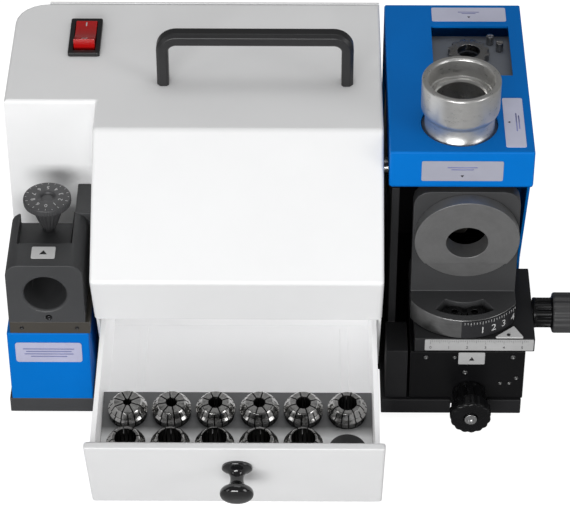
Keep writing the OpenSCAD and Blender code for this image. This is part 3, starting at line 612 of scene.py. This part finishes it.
def carry_handle():
    """Bent bar of eight-sided section, standing across the top of the housing."""
    left, right, foot, top = 32.75, 139.25, 162.0, 195.5
    bend = 11.0  # outer radius of the two corners
    leg_depth, top_depth = 6.5, 7.5
    front, back = 38.5, 47.5
    chamfer = 1.9
    inner_chamfer = chamfer * 0.6
    path = [(Vector((left, foot)), Vector((-1, 0)))]  # outer point and outward direction, XZ
    for x, start in ((left + bend, 180), (right - bend, 90)):
        for i in range(11):
            a = rad(start - 90 * i / 10)
            out = Vector((math.cos(a), math.sin(a)))
            path.append((Vector((x, top - bend)) + out * bend, out))
    path.append((Vector((right, foot)), Vector((1, 0))))

    bm = bmesh.new()
    rings = []
    for outer, out in path:
        inner = outer - out * (leg_depth + (top_depth - leg_depth) * abs(out.y))
        section = (
            (outer, front + chamfer), (outer, back - chamfer),
            (outer - out * chamfer, back), (inner + out * inner_chamfer, back),
            (inner, back - inner_chamfer), (inner, front + inner_chamfer),
            (inner + out * inner_chamfer, front), (outer - out * chamfer, front))
        rings.append([bm.verts.new((point.x, y, point.y)) for point, y in section])
    for a, b in zip(rings, rings[1:]):
        for j in range(8):
            bm.faces.new((a[j], b[j], b[(j + 1) % 8], a[(j + 1) % 8]))
    bm.faces.new(list(reversed(rings[0])))
    bm.faces.new(rings[-1])
    obj = finish_mesh(bm, "carry_handle_bar", HANDLE, "machine", "carry_handle")
    add_bevel(obj, 0.45, 3, angle=20)
    weight_normals(obj)


carry_handle()

# ------------------------------------------------------------------ switch
cad("switch_body", BLACK, width=0.35, segs=3)
cad("switch_rocker", RED, width=0.5, segs=3)


def rocker_marks():
    """A bar on the rocker's back slope and a ring on its front slope."""
    rocker = at(-8.9, 82.8, 159) @ turn(-10, "X")
    slope = Matrix.Rotation(math.atan2(1.8, 6.3), 4, "X")
    bar = prism(rounded_rect(-0.35, -1.6, 0.35, 1.6, 0.1, 2), -0.05, 0.05,
                rocker @ at(0, 9.4, 7.68) @ slope)
    ring = revolve([(1.1, -0.05), (1.6, -0.05), (1.6, 0.05), (1.1, 0.05)], 32,
                   rocker @ at(0, -9.3, 7.66) @ slope.transposed(), closed=True)
    finish_mesh(merge([bar, ring]), "rocker_marks", INK_WHITE, "rocker")


rocker_marks()

# ------------------------------------------------------------------ right unit
cad("wheel_frame", FRAME_BLACK, width=0.4)
cad("blue_cover", BLUE, width=0.2, segs=4, broad=1.3)
cad("window_plate", WINDOW)
cad("window_fittings", FITTING, width=0.25)
cad("slide_base", BASE_SHADED_RIGHT, width=0.4)
cad("y_saddle", SADDLE, width=0.45)
cad("x_slide", CROSS_SLIDE, width=0.45)


def swivel_material(face, centre):
    """Bare steel on the lower part of the round front edge."""
    r = math.hypot(centre.x - SWIVEL_X, centre.y - SWIVEL_Y)
    upright = abs(face.normal.z) < 0.3
    return 1 if upright and 33.0 < r < 34.4 and centre.z < 68 and centre.y < -25 else 0


def marker_material(face, centre):
    return 1 if centre.z > 53.95 and centre.y > -44.9 else 0


cad("swivel_block", [PLATE, SWIVEL_EDGE], width=0.5, segs=3, assign=swivel_material)
cad("swivel_screws", DARK_SCREW, width=0.25)
cad("chuck_seat", SEAT, width=0.4, segs=3)
cad("angle_scale", INK_BLACK, width=0.1, segs=1)
cad("slide_markers", [STRIP, LABEL_WHITE], width=0.12, segs=1, assign=marker_material)
cad("saddle_pointer", STRIP, width=0.12, segs=1)

# Closed outline of the cup: radius, z, corner radius
CUP_OUTLINE = [
    (13.3, 152, 0.4), (18.4, 152, 0.4), (18.4, 156.6, 0.2), (24, 156.6, 0.3),
    (24, 160.5, 0.0), (18.7, 160.5, 0.0), (18.8, 170.2, 0.5), (20.5, 172.2, 0.8),
    (21, 174, 0.8), (21, 190.6, 0.5), (20.5, 191.2, 0.25), (18.2, 191.2, 0.3),
    (17.5, 190.2, 0.3), (17.5, 180.4, 0.5), (16.9, 180.0, 0.2), (14.4, 180.4, 0.2),
    (13.3, 179.4, 0.3),
]
cup = revolve(fillet(CUP_OUTLINE, closed=True), 128, at(CUP_X, CUP_Y, 0), closed=True)
weight_normals(finish_mesh(cup, "top_seat_cup", CUP, "machine", "top_seat"))


def grip(name, node, body, matrix, stem_r, stem_len, head_r, head_len, head_mat):
    """Fluted stem and lobed head round a bore, along +Z of matrix."""
    flute = (1.35, 10, 2.5)  # depth, count, power
    half_flute = (1.35 * 0.4, 10, 2.5)
    lobe = (0.6, 15, 1.4)
    end = stem_len + head_len
    bore = 2.52
    stem = [
        (stem_r - 0.4, 0), (stem_r, 0.4), (stem_r, 1.6), (stem_r, 2.6, *flute),
        (stem_r, stem_len - 1.2, *flute), (stem_r + 0.3, stem_len - 0.3, *half_flute)]
    head = [
        (head_r - 0.9, stem_len, 0.6 * 0.5, 15, 1.4), (head_r - 0.2, stem_len + 0.5, *lobe),
        (head_r, stem_len + 1.3, *lobe), (head_r, end - 1.6, *lobe),
        (head_r - 0.3, end - 0.7, *lobe), (head_r - 1.1, end - 0.1, 0.6 * 0.6, 15, 1.4),
        (head_r - 2.2, end)]
    recess = [(4.5, end), (4.2, end - 0.1), (3.7, end - 0.9), (bore, end - 0.9), (bore, 0)]
    first, last = len(stem), len(stem) + len(head) - 1
    bm = lobed(stem + head + recess, 160, matrix, lambda j: 1 if first <= j < last else 0)
    weight_normals(finish_mesh(bm, name, [KNOB_BLACK, head_mat], body, node))


grip("front_knob", "y_knob", "y_screw", at(204.5, -45.2, 14, "-Y"),
     stem_r=9.2, stem_len=12.1, head_r=11.3, head_len=8.6, head_mat=KNOB_BLACK)
grip("side_knob", "x_knob", "x_screw", at(239.2, -17.5, 49.4, "X"),
     stem_r=8.4, stem_len=10.8, head_r=11.3, head_len=12.5, head_mat=KNOB_GREY)
cad("y_leadscrew", STEEL, width=0.2)
cad("x_leadscrew", STEEL, width=0.15)

# Screw heads on the front faces: x, z, radius
SADDLE_SCREWS = [
    (179.9, 40.6, 1.3), (195.6, 40.7, 1.1), (227.5, 40.9, 1.4), (201.7, 29.6, 1.5),
    (221.3, 21.8, 1.1), (226.3, 21.8, 1.1), (230, 25.6, 1.2),
]
# The same for the gauge, with the height of the head last
GAUGE_SCREWS = [(-24.7, 69.2, 1.5, 0.5), (-40, 62, 1.1, 0.3), (-10, 62, 1.1, 0.3)]
heads = [screw_head(at(x, SADDLE_FRONT, z, "-Y"), r, 0.7) for x, z, r in SADDLE_SCREWS]
finish_mesh(merge(heads), "saddle_screws", DULL_SCREW, "saddle")
heads = [screw_head(at(x, -46.4, z, "-Y"), r, h) for x, z, r, h in GAUGE_SCREWS]
finish_mesh(merge(heads), "gauge_screws", DARK_SCREW, "machine")


def slide_scale():
    """Millimetre ticks hanging from a line, with a figure every ten."""
    start, count, top = 182, 54, 53.3
    marks = []
    for i in range(count):
        x = start + i
        length = 2.6 if i % 10 == 0 else 1.9 if i % 5 == 0 else 1.15
        marks.append(block((x - 0.07, -45.65, top - length), (x + 0.07, -45.58, top)))
    for i in range(0, count, 10):
        marks.append(lettering(str(i // 10), 2.6, at(start + i, STRIP_FRONT, 48.2, "-Y")))
    finish_mesh(merge(marks), "slide_scale_marks", INK_BLACK, "cross_slide")


def angle_scale():
    """Ticks and the figures 1 to 4 round the front of the swivel block."""
    axis = at(SWIVEL_X, SWIVEL_Y, 0)
    marks = []
    for figure, angle in enumerate((5, 16, 27, 38, 50)):
        if figure:
            spot = axis @ turn(angle, "Z") @ at(0, -34.62, 59.6, "-Y")
            marks.append(lettering(str(figure), 6.4, spot, depth=0.08))
        for step in (-5.5, -2.75, 0, 2.75):
            foot = 64.3 if step else 63.6
            marks.append(block((-0.12, -34.68, foot), (0.12, -34.58, 65.9),
                               axis @ turn(angle + step, "Z")))
    finish_mesh(merge(marks), "angle_figures", INK_WHITE, "swivel")


slide_scale()
pin = revolve([(0, 0), (1.0, 0), (0.9, 0.35), (0, 0.45)], 24, at(224.5, -42.6, 54.8))
finish_mesh(pin, "pointer_pin", INK_BLACK, "cross_slide")
arrow = prism([(-1.5, -1.3), (1.5, -1.3), (0, 1.3)], -0.03, 0.05,
              at(204.9, STRIP_FRONT, 40.0, "-Y"))
finish_mesh(arrow, "saddle_mark", INK_BLACK, "saddle")
angle_scale()

# ------------------------------------------------------------------ gauge
cad("gauge_box", BLUE, width=0.2, segs=3, broad=1.0)
cad("gauge_plate", BROWN, width=0.35)
cad("gauge_housing", CAST, width=0.55, segs=3)
cad("dial_shaft", DIAL, width=0.2)

DIAL_TOP = 120.8
# Rings of the dial: radius, z, then depth, count and power of the valleys
DIAL_RINGS = [
    (3.02, 101.6), (4.4, 101.6), (4.6, 101.9),
    (4.9, 102.6, 0.25, 20, 1.0), (8.4, 113.4, 0.45, 20, 1.0),
    (8.9, 114.1), (12.2, 116.6), (12.8, 117.0),
    (13.0, 117.6, 0.3, 60, 1.0), (13.0, 120.0, 0.3, 60, 1.0),
    (12.75, 120.5), (12.2, DIAL_TOP), (5.4, DIAL_TOP), (5.2, 120.6), (3.02, 120.6),
]


def dial():
    axis = at(DIAL_X, DIAL_Y, 0)
    wheel = lobed(DIAL_RINGS, 240, axis)
    weight_normals(finish_mesh(wheel, "gauge_dial_wheel", DIAL, "dial",
                               "gauge_dial"))
    figure_r, tick_r = 7.9, 12.0
    marks = []
    for k in range(10):
        angle = -90 + 36 * k
        a = rad(angle)
        spot = at(DIAL_X + figure_r * math.cos(a), DIAL_Y + figure_r * math.sin(a),
                  DIAL_TOP + 0.02)
        marks.append(lettering(str(k), 3.5, spot @ turn(angle + 90, "Z"), depth=0.08))
        for step, length in ((0, 1.3), (18, 0.8)):
            marks.append(block((tick_r - length, -0.14, DIAL_TOP - 0.03),
                               (tick_r, 0.14, DIAL_TOP + 0.06), axis @ turn(angle + step, "Z")))
    finish_mesh(merge(marks), "dial_figures", INK_WHITE, "dial")


dial()


# ------------------------------------------------------------------ labels
def label_material(face, centre):
    if centre.x < 0:
        return 1 if centre.z > 100 else 0
    return 2 if centre.z > 160 else 3


cad("label_plates", [LABEL_LILAC, LABEL_WHITE, LABEL_SKY, LABEL_PEARL], width=0.12, segs=1,
    assign=label_material)

# Plane of the label, its centre in that plane, printed bars (length, y from the centre),
# and the arrow (x, y, +1 pointing to -y or -1 to +y)
LABELS = [
    (at(0, 0, HOUSING_TOP_LABEL_Z), 205, 108, ((12, 2.0), (8, 0.7)), (205, 105.0, 1.0)),
    (at(0, -19.78, 0, "-Y"), 196.4, 150, ((16, 2.2), (12, 0.8)), (196.4, 146.4, 1.0)),
    (at(224.6, 6.8, HOUSING_TOP_LABEL_Z) @ turn(90, "Z"), 0, 0, ((16, -1.2), (12, -2.6)),
     (0, 2.8, -1.0)),
    (at(0, -46.78, 0, "-Y"), -26.3, 44.4, ((28, 2.6), (25, 0.8), (27, -1.0), (20, -2.8)), None),
]
bars = []
arrows = []
for plane, x, y, rows, arrow_place in LABELS:
    for length, dy in rows:
        outline = rounded_rect(x - length / 2, y + dy - 0.35, x + length / 2, y + dy + 0.35,
                               0.3, 3)
        bars.append(prism(outline, 0.0, 0.04, plane))
    if arrow_place:
        ax, ay, sense = arrow_place
        triangle = [(ax - 0.9, ay + sense * 0.7), (ax + 0.9, ay + sense * 0.7),
                    (ax, ay - sense * 0.8)]
        arrows.append(prism(triangle, 0.0, 0.05, plane))
finish_mesh(merge(bars), "label_bars", INK_BLUE, "machine")
# The larger arrow on top of the gauge, pointing back to the dial
arrows.append(prism([(-2.1, -1.6), (2.1, -1.6), (0, 1.7)], 0.0, 0.05, at(-26.6, -35.4, 105.98)))
finish_mesh(merge(arrows), "label_arrows", INK_BLACK, "machine")

# ------------------------------------------------------------------ drawer
RACK_FRAME = at(0, -115.1, 46) @ turn(10, "X")  # the rack tips toward the front
cad("collet_rack", [RACK_TOP_LIT_SHADED, RACK], assign=lambda face, centre: 0 if face.normal.z > 0.9 else 1)

COLLET_FIRST_X, COLLET_PITCH = 19.2, 23.4
SLOTS, SLOT_WIDTH = 16, 0.7
FACETS = 3  # steps across each finger between two slots
COLUMNS = SLOTS * (FACETS + 1)


def cone(depth):
    """Outer radius of a collet's taper at a depth below its face."""
    return 10.5 - 0.1405 * (depth - 6)


# Stations down a collet: z, outer radius, widening of the bore
COLLET_STATIONS = [
    (0.0, 7.05, 0.3), (-0.25, 7.45, 0.1), (-0.8, 7.9, 0), (-1.6, 8.5, 0), (-3.0, 9.45, 0),
    (-3.4, 9.45, 0), (-3.6, 9.15, 0), (-4.0, 9.15, 0), (-5.0, 10.3, 0), (-5.25, 10.5, 0),
    (-5.9, 10.5, 0), (-6.1, 10.38, 0), (-12, cone(12), 0), (-20, cone(20), 0),
    (-26, cone(26), 0.15), (-31.2, cone(31.2), 0.15), (-31.5, cone(31.5) - 0.3, 0.4),
]


def column_angle(column, r):
    """Angle where a column starts; step 0 of each slot is its gap."""
    slot, step = divmod(column, FACETS + 1)
    half = math.asin(min(0.95, SLOT_WIDTH / 2 / r))
    start = 2 * math.pi * slot / SLOTS
    end = 2 * math.pi * (slot + 1) / SLOTS
    if step == 0:
        return start - half
    return start + half + (end - start - 2 * half) * (step - 1) / FACETS


def is_solid(column, level):
    """Even slots are open at the face and odd ones at the tail."""
    slot, step = divmod(column % COLUMNS, FACETS + 1)
    if step:
        return True
    z = (COLLET_STATIONS[level][0] + COLLET_STATIONS[level + 1][0]) / 2
    return z < -26 if slot % 2 == 0 else z > -1.2


def collet(node, i, row, bore):
    """Spring collet with sixteen fine slots, standing in place i of a rack row."""
    bm = bmesh.new()
    made = {}

    def vert(column, level, inner):
        key = (column % COLUMNS, level, inner)
        if key not in made:
            z, outer_r, widening = COLLET_STATIONS[level]
            r = bore + widening if inner else outer_r
            a = column_angle(column % COLUMNS, r)
            made[key] = bm.verts.new((r * math.cos(a), r * math.sin(a), z))
        return made[key]

    last = len(COLLET_STATIONS) - 2
    for c in range(COLUMNS):
        for k in range(last + 1):
            if not is_solid(c, k):
                continue
            corners = ((c, k), (c + 1, k), (c + 1, k + 1), (c, k + 1))
            o = [vert(*corner, False) for corner in corners]
            q = [vert(*corner, True) for corner in corners]
            bm.faces.new(o)
            bm.faces.new(list(reversed(q))).material_index = 1
            if not is_solid(c - 1, k):
                bm.faces.new((o[0], o[3], q[3], q[0])).material_index = 1
            if not is_solid(c + 1, k):
                bm.faces.new((o[1], q[1], q[2], o[2])).material_index = 1
            if k == 0 or not is_solid(c, k - 1):
                bm.faces.new((o[0], q[0], q[1], o[1])).material_index = 2 if k == 0 else 0
            if k == last or not is_solid(c, k + 1):
                bm.faces.new((o[3], o[2], q[2], q[3])).material_index = 1
    spin = 11.25 + 5 * ((i * 7 + row * 3) % 5)
    bm.transform(RACK_FRAME @ at(COLLET_FIRST_X + COLLET_PITCH * i, COLLET_PITCH * row, 0)
                 @ turn(spin, "Z"))
    obj = finish_mesh(bm, node + "_spring", [COLLET, COLLET_BORE_SHADED, COLLET_FACE], BODY[node],
                      node)
    obj.data.set_sharp_from_angle(angle=rad(32))


# Bore radii from left to right in the back row (1) and the front row (0)
COLLET_ROWS = [("b", 1, (2.05, 2.8, 3.55, 3.05, 3.8, 4.8)), ("f", 0, (5.6, 6.1, 6.4, 5.9, 6.2))]
for letter, row, bores in COLLET_ROWS:
    for i, bore in enumerate(bores):
        collet("collet_%s%d" % (letter, i + 1), i, row, bore)

# Profile of the drawer knob: radius, distance out from the drawer face, corner radius
DRAWER_KNOB = [
    (0, -8, 0), (2, -8, 0.4), (2, 0, 0), (7.9, 0, 0.2), (8.1, 1.5, 0.6), (6.6, 2.6, 1.0),
    (4.4, 3.8, 1.2), (3.5, 6.0, 1.4), (3.5, 8.8, 1.4), (4.8, 11.2, 1.4), (7.8, 12.4, 1.2),
    (9.0, 14.4, 1.6), (8.5, 17.0, 1.6), (6.2, 18.6, 1.4), (3, 19.25, 1.0), (0, 19.3, 0),
]


def drawer_knob():
    """Turned knob square to the drawer front, whose face runs back as it goes down."""
    lean = 0.43  # run back per unit down
    top_y, top_z = -164.6, 110
    z = 46.7
    matrix = (at(78.5, top_y + lean * (top_z - z), z)
              @ Matrix.Rotation(math.pi / 2 + math.atan(lean), 4, "X"))
    bm = revolve(fillet(DRAWER_KNOB), 96, matrix)
    weight_normals(finish_mesh(bm, "drawer_knob_turned", GLOSS, "drawer",
                               "drawer_knob"))


drawer_knob()

# ------------------------------------------------------------------ inside and under
# CAD nodes that keep their own mesh
KEPT = {
    "motor_housing": MOTOR, "motor_end_bell": MOTOR, "motor_bearings": STEEL,
    "motor_cradle": FRAME_BLACK, "motor_shelf": TRAY_GLOWING, "drawer_guides": SCREW,
    "rotor_shaft": STEEL, "grinding_wheel": WHEEL, "wheel_nut": STEEL,
    "control_board": BOARD, "power_inlet": BLACK, "wiring_loom": CABLE, "rubber_feet": RUBBER,
}
for node, mat in KEPT.items():
    NODES[node].data.materials.clear()
    NODES[node].data.materials.append(mat)
bare = [node for node, obj in NODES.items() if not obj.hide_render and node not in KEPT]
if bare:
    raise RuntimeError("no finish for %s" % bare)
pins = [screw_head(at(x, 104.4, z, "Y"), 1.2, 9, socket=False)
        for x, z in ((-12, 91), (-8, 96.5), (-4, 91))]
finish_mesh(merge(pins), "inlet_pins", STEEL, "machine")


# ------------------------------------------------------------------ stage
def floor():
    """Pale floor that also glows, but only as the camera sees it."""
    bm = bmesh.new()
    bmesh.ops.create_grid(bm, x_segments=2, y_segments=2, size=6)
    mesh = bpy.data.meshes.new("floor")
    bm.to_mesh(mesh)
    bm.free()
    obj = bpy.data.objects.new("floor", mesh)
    bpy.context.scene.collection.objects.link(obj)
    obj.location = (0, 0, -0.0002)
    s = Shader("floor_pale")
    tint = s.remap(s.noise(scale=3, detail=2), source=(0.3, 0.7))
    s.surface(base=s.mix(tint, (0.36, 0.36, 0.36), (0.38, 0.38, 0.38)), rough=0.9, spec=0.1)
    camera_ray = s.node("ShaderNodeLightPath").outputs["Is Camera Ray"]
    s.surface(emission=(1, 1, 1), glow=s.calc("MULTIPLY", camera_ray, 0.9))
    mesh.materials.append(s.material)


def area_light(name, location, target_z, size, power):
    """Rectangular light aimed at a height on the scene's upright axis, in metres and watts."""
    light = bpy.data.lights.new(name, "AREA")
    light.shape = "RECTANGLE"
    light.size, light.size_y = size
    light.energy = power
    obj = bpy.data.objects.new(name, light)
    bpy.context.scene.collection.objects.link(obj)
    obj.location = location
    aim = Vector((0, 0, target_z)) - Vector(location)
    obj.rotation_euler = aim.to_track_quat("-Z", "Y").to_euler()


def studio_world():
    """Even white, dimmer where it is seen in reflections."""
    world = bpy.data.worlds.new("studio")
    world.use_nodes = True
    bpy.context.scene.world = world
    nodes, links = world.node_tree.nodes, world.node_tree.links
    nodes.clear()
    output = nodes.new("ShaderNodeOutputWorld")
    general = nodes.new("ShaderNodeBackground")
    reflected = nodes.new("ShaderNodeBackground")
    mix = nodes.new("ShaderNodeMixShader")
    light_path = nodes.new("ShaderNodeLightPath")
    for background, strength in ((general, 0.38), (reflected, 0.14)):
        background.inputs[0].default_value = (1, 1, 1, 1)
        background.inputs[1].default_value = strength
    links.new(light_path.outputs["Is Glossy Ray"], mix.inputs[0])
    links.new(general.outputs[0], mix.inputs[1])
    links.new(reflected.outputs[0], mix.inputs[2])
    links.new(mix.outputs[0], output.inputs[0])


def camera():
    """Telephoto, about 40 degrees down onto the front."""
    yaw, pitch, roll = rad(-0.456), rad(39.684), rad(-0.0700)
    ahead = Vector((math.sin(yaw) * math.cos(pitch), math.cos(yaw) * math.cos(pitch),
                    -math.sin(pitch)))
    level = Vector((math.cos(yaw), -math.sin(yaw), 0))
    upright = level.cross(ahead)
    right = level * math.cos(roll) + upright * math.sin(roll)
    up = upright * math.cos(roll) - level * math.sin(roll)
    data = bpy.data.cameras.new("camera")
    data.sensor_width = 36
    data.lens = 165.115
    data.clip_end = 50
    obj = bpy.data.objects.new("camera", data)
    bpy.context.scene.collection.objects.link(obj)
    obj.matrix_world = Matrix((right, up, -ahead)).transposed().to_4x4()
    obj.location = place(111.245, -1111.022, 997.706)
    bpy.context.scene.camera = obj


floor()
area_light("key", location=(-0.5, -2.3, 0.68), target_z=0.08, size=(1.6, 0.8), power=45)
area_light("fill", location=(1.9, -1.2, 0.8), target_z=0.08, size=(0.8, 1.0), power=9)
area_light("left", location=(-2.0, -1.1, 0.75), target_z=0.08, size=(0.5, 1.0), power=3)
area_light("top", location=(0.1, 0.3, 2.2), target_z=0.1, size=(1.6, 1.0), power=7)
studio_world()
camera()
view = bpy.context.scene.view_settings
view.view_transform = "Standard"
view.look = "None"
view.exposure = 0.0

bpy.context.view_layer.update()
